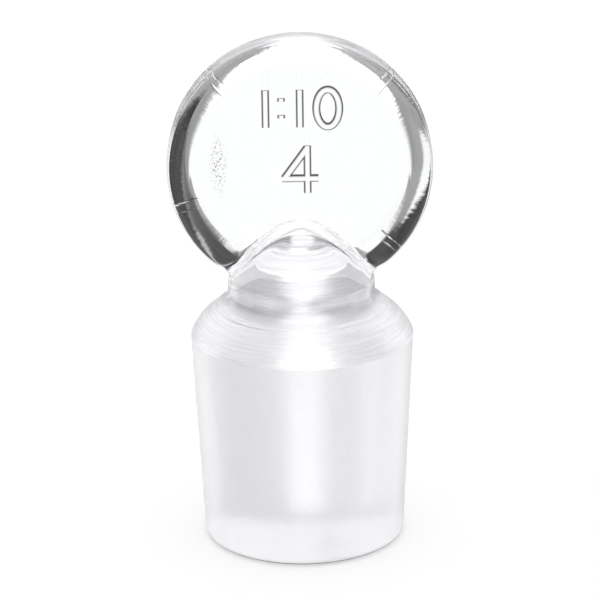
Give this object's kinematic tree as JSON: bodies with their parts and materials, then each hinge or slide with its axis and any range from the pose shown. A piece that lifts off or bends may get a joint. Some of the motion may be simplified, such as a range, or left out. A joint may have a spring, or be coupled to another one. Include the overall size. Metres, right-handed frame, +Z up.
{
  "type": "glass stopper",
  "caption": "Solid glass flask stopper with a ground tapered plug, a turned shoulder, a bell-shaped neck and a round upright disc head to grip.",
  "frame": {"origin": "centre of the flat foot, on the surface the stopper stands on", "axes": "+Z up along the plug's axis, +X along the width of the disc head, +Y through its thickness, away from the viewer of the picture"},
  "size_m": [0.0188, 0.016, 0.0373],
  "materials": {
    "glass": "clear pressed head and neck, turned satin shoulder, fine ground plug"
  },
  "bodies": {
    "root": {"stopper": "glass"}
  },
  "joints": []
}
